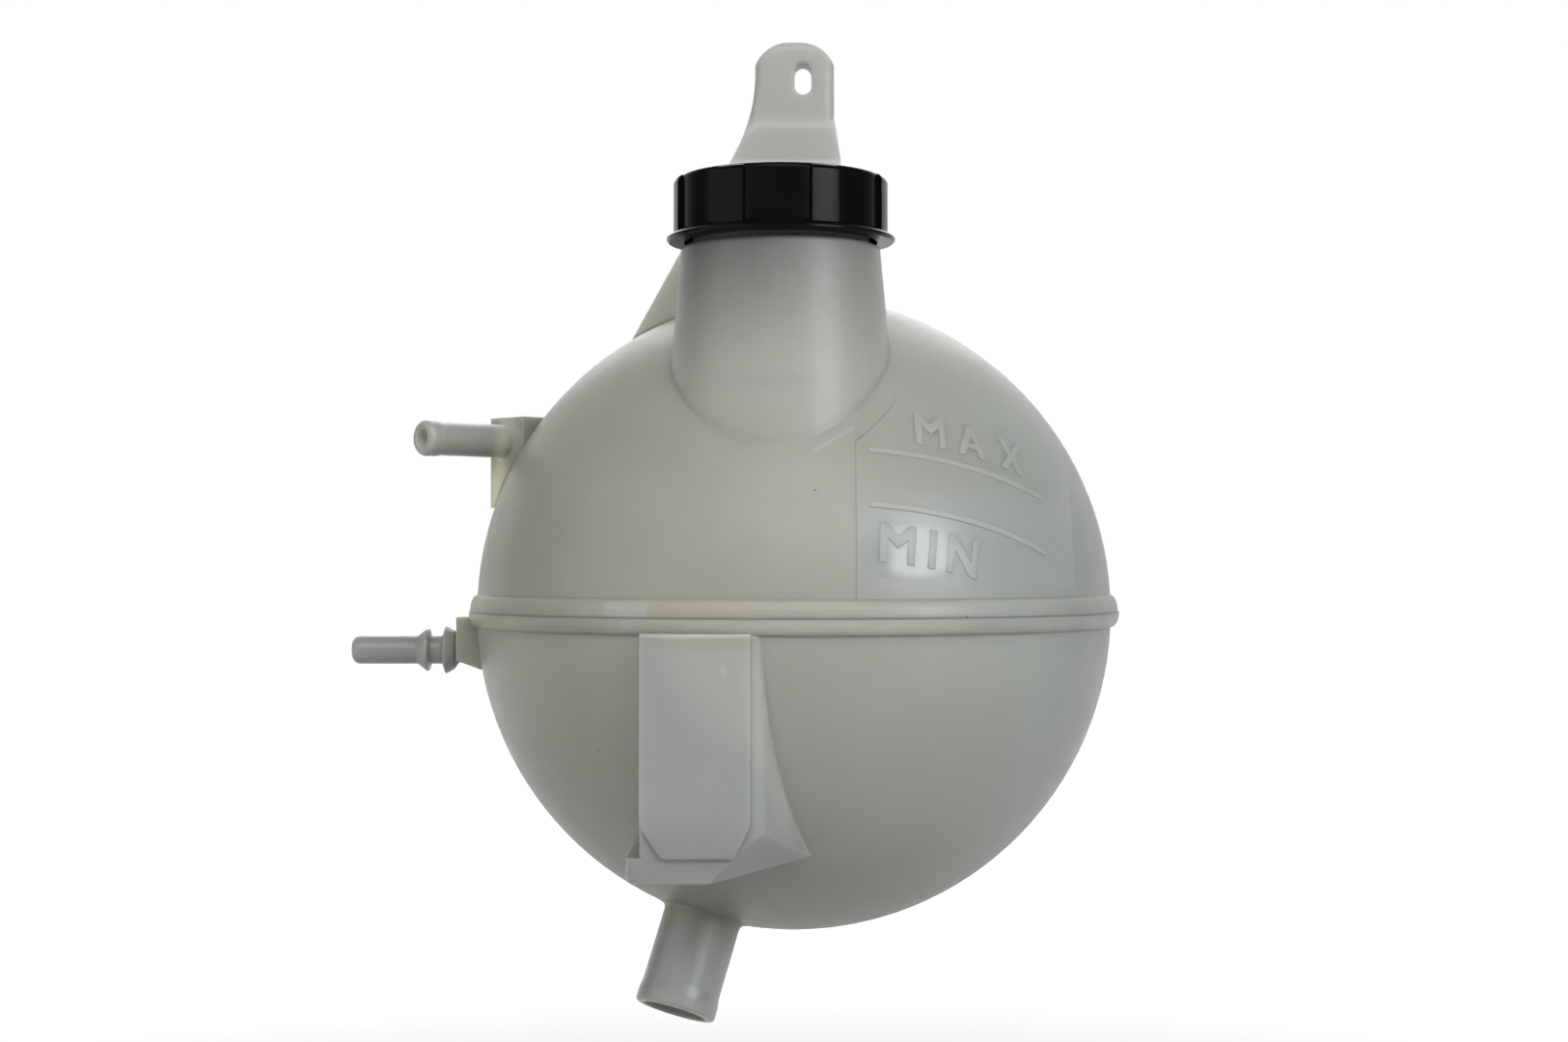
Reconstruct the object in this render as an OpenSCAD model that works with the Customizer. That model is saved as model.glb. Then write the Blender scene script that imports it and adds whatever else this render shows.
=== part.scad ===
// Ball-shaped coolant expansion tank for an engine bay, with its screw cap and the valves inside the cap.
// The tank is two moulded halves welded at the equator. Everything is laid out from the centre of the
// ball, with +X to the viewer's right, +Y away from the viewer and +Z up. place() then moves the whole
// part so that its origin is the centre of the fixing slot on the back face of the lug.

/* [Ball] */
// Outer radius of the ball
ball_r = 84; // [80:0.5:90]
// Wall of the two tank halves
wall = 2.5; // [2:0.1:3.2]
// How far the weld flange of the lower half stands out from the ball
flange_out = 2.2; // [1.5:0.1:4]
// How much smaller the flange of the upper half is
flange_step = 0.35; // [0:0.05:0.8]
// Height of the weld flange above the weld
flange_up = 4.5; // [3:0.1:6]
// Height of the weld flange below the weld
flange_down = 3.9; // [3:0.1:6]

/* [Filler neck] */
// Sideways place of the neck axis
neck_x = -3.4; // [-8:0.1:4]
// Place of the neck axis toward the viewer
neck_y = -44; // [-46:0.5:-40]
// Radius of the threaded finish under the cap
finish_r = 21.9; // [21:0.1:23]
// Height of the finish above the shoulder
finish_h = 12.6; // [12:0.1:16]
// Wall of the finish around its sealing bore
finish_wall = 3.4; // [3.1:0.1:3.8]
// Width of the shoulder that the finish stands on
shoulder_w = 2.9; // [2.2:0.1:5]
// Height of the shoulder above the top of the ball
shoulder_up = 7.4; // [5:0.1:12]
// Radius of the outer edge of the shoulder
shoulder_edge_r = 1.2; // [0.6:0.1:1.8]
// Draft of the neck, in degrees
neck_draft = 5.2; // [3:0.1:6]
// Wall of the neck
neck_wall = 2.8; // [2.4:0.1:3.4]

/* [Fixing lug] */
// Left side of the lug head
lug_left = -10.3; // [-12:0.1:-9]
// Right side of the lug head
lug_right = 10.8; // [9:0.1:12]
// Height of the lug above the top of the ball
lug_up = 68.2; // [62:0.2:74]
// Radius of the round top of the lug
lug_top_r = 11.9; // [11:0.1:14]
// Height of the thick head of the lug
lug_head_h = 23.2; // [20:0.2:26]
// Thickness of the lug head
lug_head_t = 8; // [6:0.2:10]
// Thickness of the web under the head
lug_web_t = 5; // [3.5:0.1:6]
// Edge radius of the lug head
lug_edge_r = 2.6; // [1:0.1:2.9]
// Slant of the left side of the web, in degrees
lug_flare_angle = 28.8; // [20:0.2:34]
// Radius of the bend between the head and that slant
lug_flare_r = 45; // [20:0.5:55]
// Sideways place of the fixing slot
slot_x = 2.5; // [0:0.1:3.5]
// Distance of the centre of the fixing slot from the top of the lug
slot_down = 10.2; // [8:0.2:12]
// Width of the fixing slot
slot_w = 4.5; // [4:0.1:6.5]
// Length of the fixing slot
slot_len = 8.5; // [7:0.1:11]

/* [Level window] */
// Left border of the level window
window_left = 14.3; // [12:0.1:18]
// Right border of the level window
window_right = 69; // [64:0.5:72]
// How far the level window stands proud of the ball
window_step = 0.2; // [0.2:0.05:0.8]
// Tilt of the level planes against the weld, in degrees
level_tilt = 33.3; // [25:0.1:40]
// Sideways tilt of the level planes, in degrees
level_roll = 3.9; // [0:0.1:8]
// Distance of the maximum plane from the centre of the ball
level_max = -7.5; // [-12:0.1:-4]
// Distance of the minimum plane from the centre of the ball
level_min = -21.5; // [-26:0.1:-16]
// Distance of the top edge of the window from the centre of the ball
level_top = 9; // [5:0.5:14]
// Width of a level line
line_w = 1.3; // [0.8:0.1:2]
// How far a level line stands proud of the window
line_h = 0.35; // [0.3:0.05:0.9]

/* [Return spigot] */
// Height of the return spigot above the weld
return_z = 45.2; // [42:0.2:48]
// Direction of the return spigot from the left toward the viewer, in degrees
return_turn = 44; // [35:1:55]
// Distance of the return spigot's axis from the upright axis of the ball
return_offset = 51.3; // [49:0.1:53]
// How far the boss of the return spigot stands out of the ball, along the spigot
return_boss_out = 8.1; // [7:0.1:11]
// Length of the return spigot outside its boss
return_len = 27.4; // [20:0.2:32]
// Radius of the return spigot
return_r = 4.4; // [4:0.1:4.8]
// How much wider the raised end of the return spigot is, as a radius
return_tip_out = 0.27; // [0.1:0.01:0.5]
// Bore radius of the return spigot
return_bore_r = 2.6; // [2:0.1:3]

/* [Vent spigot] */
// Depth of the vent spigot below the weld
vent_down = 10.4; // [9.5:0.1:11.5]
// How far the boss of the vent spigot stands out of the ball
vent_boss_out = 5.4; // [4:0.1:8]
// Length of the vent spigot outside its boss
vent_len = 28.6; // [25:0.2:34]
// Radius of the vent spigot
vent_r = 3.75; // [3.4:0.05:4.2]
// Bore radius of the vent spigot
vent_bore_r = 2.4; // [2.2:0.1:2.5]
// How far the retaining bead stands out from the vent spigot
vent_bead_out = 1.85; // [1:0.05:2.2]
// How far the stop collar stands out from the vent spigot
vent_stop_out = 2.65; // [2:0.05:3]

/* [Hose outlet] */
// Sideways place where the outlet axis leaves the ball
outlet_x = -23.6; // [-28:0.2:-18]
// Place toward the viewer where the outlet axis leaves the ball
outlet_y = -19; // [-24:0.2:-14]
// Tilt of the outlet away from straight down, in degrees
outlet_tilt = 24.3; // [15:0.1:30]
// Direction of that tilt, in degrees about the vertical
outlet_turn = -131.9; // [-150:0.1:-110]
// Length of the outlet outside the ball
outlet_len = 25.4; // [20:0.2:32]
// Radius of the outlet
outlet_r = 10.1; // [9.5:0.1:11]
// How much wider the raised end of the outlet is, as a radius
outlet_tip_out = 0.35; // [0.1:0.05:1]
// Wall of the outlet
outlet_wall = 1.9; // [1.5:0.1:2.6]
// Radius of the fillet between the outlet and the ball
outlet_root_r = 2.5; // [1:0.1:4]

/* [Sensor socket] */
// Left side of the sensor socket
socket_left = -36; // [-38:0.2:-34]
// Right side of the sensor socket at its front
socket_right = -6.2; // [-9:0.2:-4]
// How far the front wall stands in front of the ball
socket_out = 0.3; // [0.1:0.1:2]
// Depth of the bottom rim below the weld
socket_drop = 61; // [57:0.5:64]
// Wall of the sensor socket
socket_wall = 2; // [1.6:0.1:2.6]
// How far the front panel stands proud of the front wall
socket_panel_step = 1.1; // [0.6:0.1:1.6]
// Height of the rim below the front panel
socket_rim_h = 5.8; // [4:0.1:7]
// Slope of the right side wall, in degrees
socket_side_turn = 25.3; // [15:0.1:32]
// Slope of the mouth, in degrees
socket_mouth_tilt = 9; // [0:0.5:12]
// Place on the front rim where the facet at the lower right corner starts
facet_x = -20; // [-24:0.2:-17]
// Direction that this facet faces, in degrees from the right toward the viewer
facet_turn = 42.2; // [36:0.2:50]
// How far this facet faces downward, in degrees
facet_tilt = 37.6; // [25:0.2:45]
// Radius of a sensor pin
pin_r = 1.5; // [1.2:0.1:2]
// Distance between the two sensor pins
pin_gap = 10; // [8:0.5:11]

/* [Cap] */
// Room for the threads between the finish and the skirt of the cap
thread_room = 2.2; // [1.8:0.1:2.8]
// Wall of the skirt of the cap between the grip ribs
cap_skirt_t = 1.5; // [1.2:0.1:1.8]
// How far a grip rib stands proud of the panels between them
rib_h = 1.1; // [0.5:0.1:1.5]
// Number of grip ribs
rib_count = 7; // [5:1:10]
// Width of a grip rib, in degrees
rib_width = 15; // [10:1:20]
// Turn of the grip ribs about the cap axis, in degrees
rib_turn = 24; // [0:1:50]
// How far the flange at the bottom of the cap stands out from the grip ribs
cap_flange_out = 1.7; // [1:0.1:3]
// Height of the cap
cap_h = 16.2; // [15.8:0.1:19]
// Gap between the shoulder of the neck and the cap
cap_gap = 1.1; // [0.5:0.1:2]
// Thickness of the top of the cap
cap_wall = 2.2; // [1.8:0.1:2.6]

/* [Cap valves] */
// Gap between the sealing bore and the valve housing
housing_gap = 0.9; // [0.6:0.1:1.3]
// Wall of the valve housing
housing_wall = 3.4; // [3.1:0.1:3.8]
// Depth of the valve housing below the rim of the neck
housing_depth = 24; // [22:0.5:28]
// Section radius of the O-ring
o_ring_section_r = 1.2; // [1:0.05:1.3]
// Gap between the wall of the housing and the pressure plate
plate_gap = 2.4; // [1.8:0.1:3]
// Width of the pressure plate outside the port in the floor of the housing
port_margin = 6.2; // [5.8:0.1:6.5]
// Wire radius of the pressure spring
spring_wire_r = 0.8; // [0.6:0.05:0.95]
// Distance of the wire's middle from the edge of the pressure plate
spring_in = 2.6; // [2:0.1:3]
// Number of turns of the pressure spring
spring_turns = 6; // [4:1:7]
// Stem radius of the vacuum valve
stem_r = 1.2; // [1:0.05:1.5]
// Gap between the port and the disc of the vacuum valve
vacuum_gap = 1; // [0.9:0.1:1.3]

/* [Hidden] */
$fn = 96;
// Facets of slender round parts and of the smallest ones
slender_fn = 48;
small_fn = 32;

// Clearances that the moving pieces share
run_fit = 0.05;
soft_fit = 0.08;
play = 0.3;
// Reach of cutters past a face, and a length beyond the whole part
past = 1;
far = 2 * ball_r;

inner_r = ball_r - wall;
flange_r = ball_r + flange_out;
// Where the slope of the flange runs out on the ball, and on the wall inside, as a share of its height
flange_root = 0.5;
flange_inner_share = 0.7;

// Neck and cap, from the shoulder upward
shoulder_z = ball_r + shoulder_up;
rim_z = shoulder_z + finish_h;
rim_chamfer = 1.1;
neck_r = finish_r + shoulder_w;
bore_r = finish_r - finish_wall;
neck_foot_z = 0.24 * ball_r;
neck_taper = tan(neck_draft);
neck_foot_r = neck_r + (shoulder_z - neck_foot_z) * neck_taper;
cap_bottom_z = shoulder_z + cap_gap;
cap_top_z = cap_bottom_z + cap_h;
ceiling_z = cap_top_z - cap_wall;
cap_inner_r = finish_r + thread_room;
cap_panel_r = cap_inner_r + cap_skirt_t;
cap_r = cap_panel_r + rib_h;
cap_flange_r = cap_r + cap_flange_out;
cap_flange_h = 1.5;
cap_flange_slope_h = 1.1;
cap_flange_edge = 0.5;
cap_edge_r = 1.2;
rib_edge_r = 1.5;
rib_low = 0.35;
rib_foot_r = cap_inner_r + cap_skirt_t / 2;
rib_foot_up = 0.6;
rib_cut_r = 1.2 * cap_r;
rib_edge_turn = 80;

// Lug
lug_top = ball_r + lug_up;
lug_head_z = lug_top - lug_head_h;
lug_foot_z = 0.78 * ball_r;
lug_back_y = lug_head_t / 2;
lug_slope_h = 8;
lug_mid_x = (lug_left + lug_right) / 2;
lug_flare_up = 15;
lug_step_w = 1.8;
lug_step_up = 2;
lug_step_down = 8;
lug_foot_w = 3;
slot_z = lug_top - slot_down;

// Level window and the planes of its lines
window_gap = 1.5;
window_back = 0.3 * ball_r;
level_line_left = window_left + 3.2;
level_line_right = window_right - 8;

// Return spigot
return_ball_reach = sqrt(ball_r * ball_r - return_offset * return_offset - return_z * return_z);
return_boss_reach = return_ball_reach + return_boss_out;
return_boss_w = 14;
return_boss_up = 6.4;
return_boss_down = 17.6;
return_boss_root = 30;
return_collar_h = 1.4;
return_tip_r = return_r + return_tip_out;
return_tip_len = 4;
return_tip_slope = 2;
return_nose_r = 1.5;

// Vent spigot
vent_boss_reach = ball_r + vent_boss_out;
vent_reach = vent_boss_reach + vent_len;
vent_boss_w = 13;
vent_boss_up = 8.8;
vent_boss_down = 2.6;
vent_boss_slope_h = 2.4;
vent_boss_foot = 1.1;
vent_boss_root = 6;
vent_waist_r = vent_r - 0.35;
vent_stop_len = 4.5;
vent_stop_edge = 1;
vent_stop_start = 1.2;
vent_stop_start_out = 1.35;
vent_bead_start = 7.4;
vent_bead_rise = 0.6;
vent_bead_top = 0.7;
vent_bead_len = 3.7;
vent_nose_r = 2.2;

// Hose outlet
outlet_z = -sqrt(ball_r * ball_r - outlet_x * outlet_x - outlet_y * outlet_y);
outlet_tip_r = outlet_r + outlet_tip_out;
outlet_tip_len = 3.5;
outlet_tip_slope = 2.5;
outlet_root = 14;
outlet_edge_r = 1;

// Sensor socket
socket_front = ball_r + socket_out;
socket_depth = 40;
socket_top = flange_down - 0.5;
socket_corner_r = 4.2;
socket_edge_r = 1;
socket_rim_left = 3.2;
socket_rim_r = 3;
socket_panel_cut = 7.5;
socket_panel_cut_left = 5.2;
socket_panel_cut_right = 3.8;
socket_ceiling = 16;
pin_x = (socket_left + socket_right) / 2 - 1;
pin_back = 17.8;
pin_y = pin_back - socket_front;
// Where the ball's wall stands above the pins; the boss hangs below it, and each pin runs through both
pin_wall_z = -sqrt(inner_r * inner_r - pin_x * pin_x - pin_y * pin_y);
pin_boss_down = 8.4;
pin_boss_z = pin_wall_z - pin_boss_down;
pin_boss_h = 24;
pin_boss_w = 8;
pin_boss_root = 12;
pin_contact_len = 7;
pin_probe_len = 19.6;
pin_tip_z = pin_boss_z - pin_contact_len;
pin_top_z = pin_wall_z + pin_probe_len;

// Valve stack inside the cap, from the floor of the housing upward
stud_r = 6;
stud_bore_r = 4.2;
stud_head_r = 6.8;
stud_head_h = 1.4;
stud_head_lip = 0.2;
stud_slot_w = 1.6;
stud_head_gap = 0.9;
cover_t = ceiling_z - play - rim_z;
cover_r = finish_r - 0.2;
cover_spigot_h = 2;
housing_r = bore_r - housing_gap;
housing_inner_r = housing_r - housing_wall;
vent_hole_r = 1.3;
vent_hole_ring = housing_inner_r - vent_hole_r - play;
vent_hole_count = 4;
vent_hole_turn = 45;
housing_floor_z = rim_z - housing_depth;
housing_floor_t = 2.2;
seat_h = 0.8;
seat_wall = 1.6;
o_ring_z = rim_z - 7;
o_ring_r = bore_r - soft_fit - o_ring_section_r;
groove_r = o_ring_r - o_ring_section_r;
groove_h = 2 * o_ring_section_r + 0.5;
plate_r = housing_inner_r - plate_gap;
port_r = plate_r - port_margin;
seal_t = 1.5;
seal_r = port_r + seat_wall + 1.4;
seal_inner_r = port_r + 0.2;
plate_t = 2;
plate_rim_gap = 0.1;
plate_rim_share = 0.6;
plate_z = housing_floor_z + housing_floor_t + seat_h + seal_t;
plate_top_z = plate_z + plate_t;
spring_coil_r = plate_r - spring_in;
spring_top_z = rim_z - cover_spigot_h;
collar_r = spring_coil_r - spring_wire_r - 0.3;
collar_wall = 1.4;
collar_h = 2.4;
air_hole_r = 0.8;
air_hole_ring = stem_r + 1.5;
air_hole_count = 4;
vacuum_r = port_r - vacuum_gap;
vacuum_t = 1.2;
vacuum_seal_t = 0.8;
vacuum_seal_r = vacuum_r - 0.4;
vacuum_seal_inner_r = stem_r + 0.35;
vacuum_wire_r = 0.25;
vacuum_coil_r = stem_r + 1.1;
vacuum_turns = 5;
keeper_z = plate_top_z + 5;
keeper_t = 0.8;
keeper_r = vacuum_coil_r + 1.1;
keeper_groove_r = stem_r - 0.3;
stem_top_z = keeper_z + keeper_t + past;

// Closed end turns of a spring, as a share of the wire's radius
coil_end_rise = 2.1;
pressure_coil_steps = 20;
pressure_wire_sides = 8;
vacuum_coil_steps = 16;
vacuum_wire_sides = 6;

// Moves the part so that its origin is the centre of the fixing slot on the back of the lug
module place() translate([-slot_x, -lug_back_y, -slot_z]) children();

// Places its children on the axis of the neck and the cap
module on_neck_axis() translate([neck_x, neck_y, 0]) children();

// Upright rod between two heights
module rod(r, low, high, facets = $fn)
    translate([0, 0, low]) cylinder(r = r, h = high - low, $fn = facets);

// Ring with a rectangular section between two heights
module ring(outer, inner, low, high) {
    difference() {
        rod(outer, low, high);
        rod(inner, low - past, high + past);
    }
}

// Half space above or below the weld plane
module above(z) translate([-far, -far, z]) cube([2 * far, 2 * far, 2 * far]);
module below(z) translate([-far, -far, z - 2 * far]) cube([2 * far, 2 * far, 2 * far]);

// Rectangle with round corners, centred on the origin
module round_rectangle(w, h, r) {
    square([w - 2 * r, h], center = true);
    square([w, h - 2 * r], center = true);
    for (x = [-1, 1], y = [-1, 1])
        translate([x * (w / 2 - r), y * (h / 2 - r)]) circle(r = r, $fn = small_fn);
}

// Points of an arc
function arc(x, y, r, from, to, steps = 6) =
    [for (i = [0 : steps]) let (a = from + (to - from) * i / steps) [x + r * cos(a), y + r * sin(a)]];

// Upright flange section: half of the bulge round the weld, leaning back to the ball
module flange_section(r, h) {
    polygon(concat(
        [[inner_r, 0]],
        [for (p = arc(0, 0, 1, 0, 90)) [ball_r + (r - ball_r) * p.x, h * p.y]],
        [[ball_r - flange_root, h]],
        [[inner_r, h * flange_inner_share]]
    ));
}

// Filler neck, tapered by its draft, with the narrow finish on top
module neck_outside() {
    edge_z = shoulder_z - shoulder_edge_r;
    on_neck_axis() rotate_extrude() polygon(concat(
        [[0, neck_foot_z], [neck_foot_r, neck_foot_z]],
        arc(neck_r - shoulder_edge_r, edge_z, shoulder_edge_r, neck_draft, 90),
        [[finish_r, shoulder_z], [finish_r, rim_z], [0, rim_z]]
    ));
}

module neck_inside() {
    roof_z = shoulder_z - neck_wall;
    foot_r = neck_foot_r - neck_wall;
    on_neck_axis() rotate_extrude() polygon([
        [0, neck_foot_z],
        [foot_r, neck_foot_z],
        [foot_r - (roof_z - neck_foot_z) * neck_taper, roof_z],
        [bore_r, roof_z],
        [bore_r, rim_z - rim_chamfer],
        [bore_r + rim_chamfer, rim_z],
        [bore_r + rim_chamfer, rim_z + past],
        [0, rim_z + past]
    ]);
}

// Lug outline seen from the front: round head, nearly straight right side, and a left side that slants
// outward to the ball
module lug_outline() {
    flare_z = lug_head_z + lug_flare_up;
    slant_z = flare_z - lug_flare_r * sin(lug_flare_angle);
    slant_x = lug_left - lug_flare_r * (1 - cos(lug_flare_angle));
    round_z = lug_top - lug_top_r;
    intersection() {
        translate([lug_mid_x, round_z]) circle(r = lug_top_r);
        translate([lug_left, lug_head_z]) square([lug_right - lug_left, lug_head_h]);
    }
    polygon(concat(
        [[lug_right, round_z], [lug_left, round_z]],
        arc(lug_left - lug_flare_r, flare_z, lug_flare_r, 0, -lug_flare_angle),
        [[slant_x - (slant_z - lug_foot_z) * tan(lug_flare_angle), lug_foot_z]],
        [[lug_right + lug_foot_w, lug_foot_z]],
        [[lug_right + lug_step_w, lug_head_z - lug_step_down]],
        [[lug_right, lug_head_z + lug_step_up]]
    ));
}

// Lug section seen from the side: thick head, slope and thinner web
module lug_profile() {
    head_low = lug_head_z + 2 * lug_edge_r;
    translate([0, (lug_top + lug_head_z) / 2]) round_rectangle(lug_head_t, lug_head_h, lug_edge_r);
    polygon([
        [-lug_back_y, head_low],
        [-lug_back_y, lug_head_z],
        [lug_back_y - lug_web_t, lug_head_z - lug_slope_h],
        [lug_back_y - lug_web_t, lug_foot_z],
        [lug_back_y, lug_foot_z],
        [lug_back_y, head_low]
    ]);
}

module lug() {
    difference() {
        intersection() {
            rotate([90, 0, 0]) linear_extrude(height = 2 * lug_head_t, center = true) lug_outline();
            rotate([90, 0, 90]) linear_extrude(height = far, center = true) lug_profile();
            lug_round_left();
            lug_round_right();
        }
        translate([slot_x, 0, slot_z]) fixing_slot();
    }
}

// Space right of the lug's left side, with round edges: upright above the flare and curved along it
module lug_round_left() {
    flare_z = lug_head_z + lug_flare_up;
    intersection() {
        above(flare_z);
        translate([lug_left + ball_r, 0, 0]) linear_extrude(height = far)
            round_rectangle(2 * ball_r, lug_head_t, lug_edge_r);
    }
    intersection() {
        below(flare_z);
        translate([lug_left - lug_flare_r, 0, flare_z]) rotate([90, 0, 0]) rotate_extrude()
            translate([lug_flare_r + ball_r, 0]) round_rectangle(2 * ball_r, lug_head_t, lug_edge_r);
    }
}

// Space left of the lug's right side, with round edges down to where the lug starts to widen
module lug_round_right() {
    step_z = lug_head_z + lug_step_up;
    below(step_z);
    translate([lug_right - ball_r, 0, step_z]) linear_extrude(height = far)
        round_rectangle(2 * ball_r, lug_head_t, lug_edge_r);
}

// Upright slot with round ends, centred on the origin and open along Y
module fixing_slot() {
    for (end = [-1, 1])
        translate([0, 0, end * (slot_len - slot_w) / 2])
            rotate([90, 0, 0]) cylinder(d = slot_w, h = 2 * lug_head_t, center = true);
    cube([slot_w, 2 * lug_head_t, slot_len - slot_w], center = true);
}

// Space between two level planes, given by their distances from the centre of the ball
module level_slab(low, high) {
    rotate([-level_tilt, -level_roll, 0])
        translate([-far, -far, low]) cube([2 * far, 2 * far, high - low]);
}

// Upright space on the front of the ball between two sideways places
module front_strip(left, right) {
    translate([left, -far, flange_up]) cube([right - left, far - window_back, far]);
}

module level_window() {
    intersection() {
        sphere(r = ball_r + window_step);
        difference() {
            front_strip(window_left, window_right);
            on_neck_axis() cylinder(r = neck_foot_r + window_gap, h = shoulder_z);
        }
        level_slab(-far, level_top);
    }
    for (level = [level_min, level_max])
        intersection() {
            sphere(r = ball_r + window_step + line_h);
            front_strip(level_line_left, level_line_right);
            level_slab(level - line_w / 2, level + line_w / 2);
        }
}

// Places its children where the return spigot leaves its boss, with +X along the spigot
module on_return_axis() {
    translate([0, 0, return_z]) rotate([0, 0, 180 + return_turn])
        translate([return_boss_reach, -return_offset, 0]) children();
}

module return_boss() {
    translate([-return_boss_root, -return_boss_w / 2, -return_boss_down])
        cube([return_boss_root, return_boss_w, return_boss_up + return_boss_down]);
}

module return_tube() {
    tip = return_len - return_tip_len;
    rotate([0, 90, 0]) rotate_extrude() polygon(concat(
        [[0, -past], [return_boss_up, -past], [return_boss_up, 0]],
        [[return_r, return_collar_h], [return_r, tip - return_tip_slope], [return_tip_r, tip]],
        arc(return_tip_r - return_nose_r, return_len - return_nose_r, return_nose_r, 0, 90),
        [[0, return_len]]
    ));
}

module return_bore() {
    translate([-return_boss_root, 0, 0]) rotate([0, 90, 0])
        cylinder(r = return_bore_r, h = return_boss_root + return_len + past, $fn = slender_fn);
}

// Vent spigot: a plain tube with a stop collar and a retaining bead, on a block under the weld flange
module vent_boss() {
    foot_x = vent_boss_foot - ball_r;
    root_x = vent_boss_root - ball_r;
    low_z = -vent_boss_down - vent_boss_slope_h;
    rotate([90, 0, 0]) linear_extrude(height = vent_boss_w, center = true) polygon([
        [-vent_boss_reach, vent_boss_up],
        [-vent_boss_reach, -vent_boss_down],
        [foot_x, low_z],
        [root_x, low_z],
        [root_x, vent_boss_up]
    ]);
}

module vent_tube() {
    bead_r = vent_r + vent_bead_out;
    bead_z = vent_boss_reach + vent_bead_start;
    stop_z = vent_boss_reach + vent_stop_len;
    rotate([0, -90, 0]) rotate_extrude() polygon(concat(
        [[0, vent_boss_reach - past], [vent_waist_r, vent_boss_reach - past]],
        [[vent_waist_r, vent_boss_reach]],
        [[vent_r + vent_stop_start_out, vent_boss_reach + vent_stop_start]],
        [[vent_r + vent_stop_out, stop_z - vent_stop_edge], [vent_r, stop_z], [vent_r, bead_z]],
        [[bead_r, bead_z + vent_bead_rise], [bead_r, bead_z + vent_bead_rise + vent_bead_top]],
        [[vent_r, bead_z + vent_bead_len]],
        arc(vent_r - vent_nose_r, vent_reach - vent_nose_r, vent_nose_r, 0, 90),
        [[0, vent_reach]]
    ));
}

module vent_bore() {
    rotate([0, -90, 0]) translate([0, 0, inner_r - vent_boss_root])
        cylinder(r = vent_bore_r, h = vent_reach, $fn = slender_fn);
}

// Places its children where the outlet leaves the ball, with +Z along the outlet
module on_outlet_axis() {
    translate([outlet_x, outlet_y, outlet_z]) rotate([0, 0, outlet_turn]) rotate([0, 180 - outlet_tilt, 0])
        children();
}

// The fillet at its root is a hollow curve from the ball to the tube
module outlet_tube() {
    tip = outlet_len - outlet_tip_len;
    rotate_extrude() polygon(concat(
        [[0, -outlet_root], [outlet_r, -outlet_root], [outlet_r + outlet_root_r, -outlet_root_r]],
        arc(outlet_r + outlet_root_r, outlet_root_r / 2, outlet_root_r, -90, -180),
        [[outlet_r, tip - outlet_tip_slope], [outlet_tip_r, tip]],
        arc(outlet_tip_r - outlet_edge_r, outlet_len - outlet_edge_r, outlet_edge_r, 0, 90),
        [[0, outlet_len]]
    ));
}

module outlet_bore() {
    rod(outlet_r - outlet_wall, -outlet_root, outlet_len + past);
}

// Plan of the sensor socket: a square left side, a round front right corner and a slanting right side.
// step moves its walls outward.
module socket_plan(step, corner) {
    front = -socket_front - step;
    left = socket_left - step;
    right = socket_right + step;
    back = -socket_front + socket_depth;
    side = (back - front) * tan(socket_side_turn);
    polygon(concat(
        arc(left + socket_edge_r, front + socket_edge_r, socket_edge_r, 180, 270, 3),
        arc(right - corner, front + corner, corner, 270, 360 - socket_side_turn),
        [[right + side, back], [left, back]]
    ));
}

// Plan of the rim round the mouth, which stands out on the left
module socket_rim_plan() {
    left = socket_left - socket_rim_left;
    right = socket_left + socket_wall;
    back = -socket_front + socket_depth;
    polygon(concat(
        arc(left + socket_rim_r, -socket_front + socket_rim_r, socket_rim_r, 180, 270),
        [[right, -socket_front], [right, back], [left, back]]
    ));
}

// Everything beyond the facet at the lower right corner of the socket, moved outward by step
module beyond_socket_facet(step) {
    translate([facet_x, -socket_front, -socket_drop])
        rotate([0, 90 + facet_tilt, -facet_turn]) above(step);
}

// Everything above the mouth of the socket, whose plane rises toward the ball
module above_socket_mouth() {
    translate([0, -socket_front, -socket_drop]) rotate([socket_mouth_tilt, 0, 0]) above(0);
}

// Raised panel on the front of the socket, with its two lower corners cut off
module socket_panel() {
    low = -socket_drop + socket_rim_h;
    right = socket_right - socket_corner_r;
    translate([0, -socket_front + socket_wall / 2, 0]) rotate([90, 0, 0])
        linear_extrude(height = socket_wall / 2 + socket_panel_step) polygon([
            [socket_left, -socket_top],
            [socket_left, low + socket_panel_cut],
            [socket_left + socket_panel_cut_left, low],
            [right - socket_panel_cut_right, low],
            [right, low + socket_panel_cut],
            [right, -socket_top]
        ]);
}

module socket_outside() {
    rim_top = -socket_drop + socket_rim_h;
    difference() {
        intersection() {
            union() {
                translate([0, 0, -far]) linear_extrude(height = far - socket_top)
                    socket_plan(0, socket_corner_r);
                translate([0, 0, -far]) linear_extrude(height = far + rim_top) socket_rim_plan();
            }
            above_socket_mouth();
        }
        beyond_socket_facet(0);
    }
    socket_panel();
}

// Hollow of the socket, open at the mouth and closed by the ball behind it
module socket_inside() {
    difference() {
        translate([0, 0, -far]) linear_extrude(height = far - socket_ceiling)
            socket_plan(-socket_wall, socket_corner_r - socket_wall);
        sphere(r = ball_r);
        pin_boss();
        beyond_socket_facet(-socket_wall);
    }
}

// Solid foot inside the socket that carries the two sensor pins
module pin_boss() {
    translate([pin_x - (pin_gap + pin_boss_w) / 2, pin_y - pin_boss_w / 2, pin_boss_z])
        cube([pin_gap + pin_boss_w, pin_boss_w + pin_boss_root, pin_boss_h]);
}

module pin_hole(side) {
    translate([pin_x + side * pin_gap / 2, pin_y, 0]) rod(pin_r, pin_boss_z - past, 0, slender_fn);
}

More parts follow.
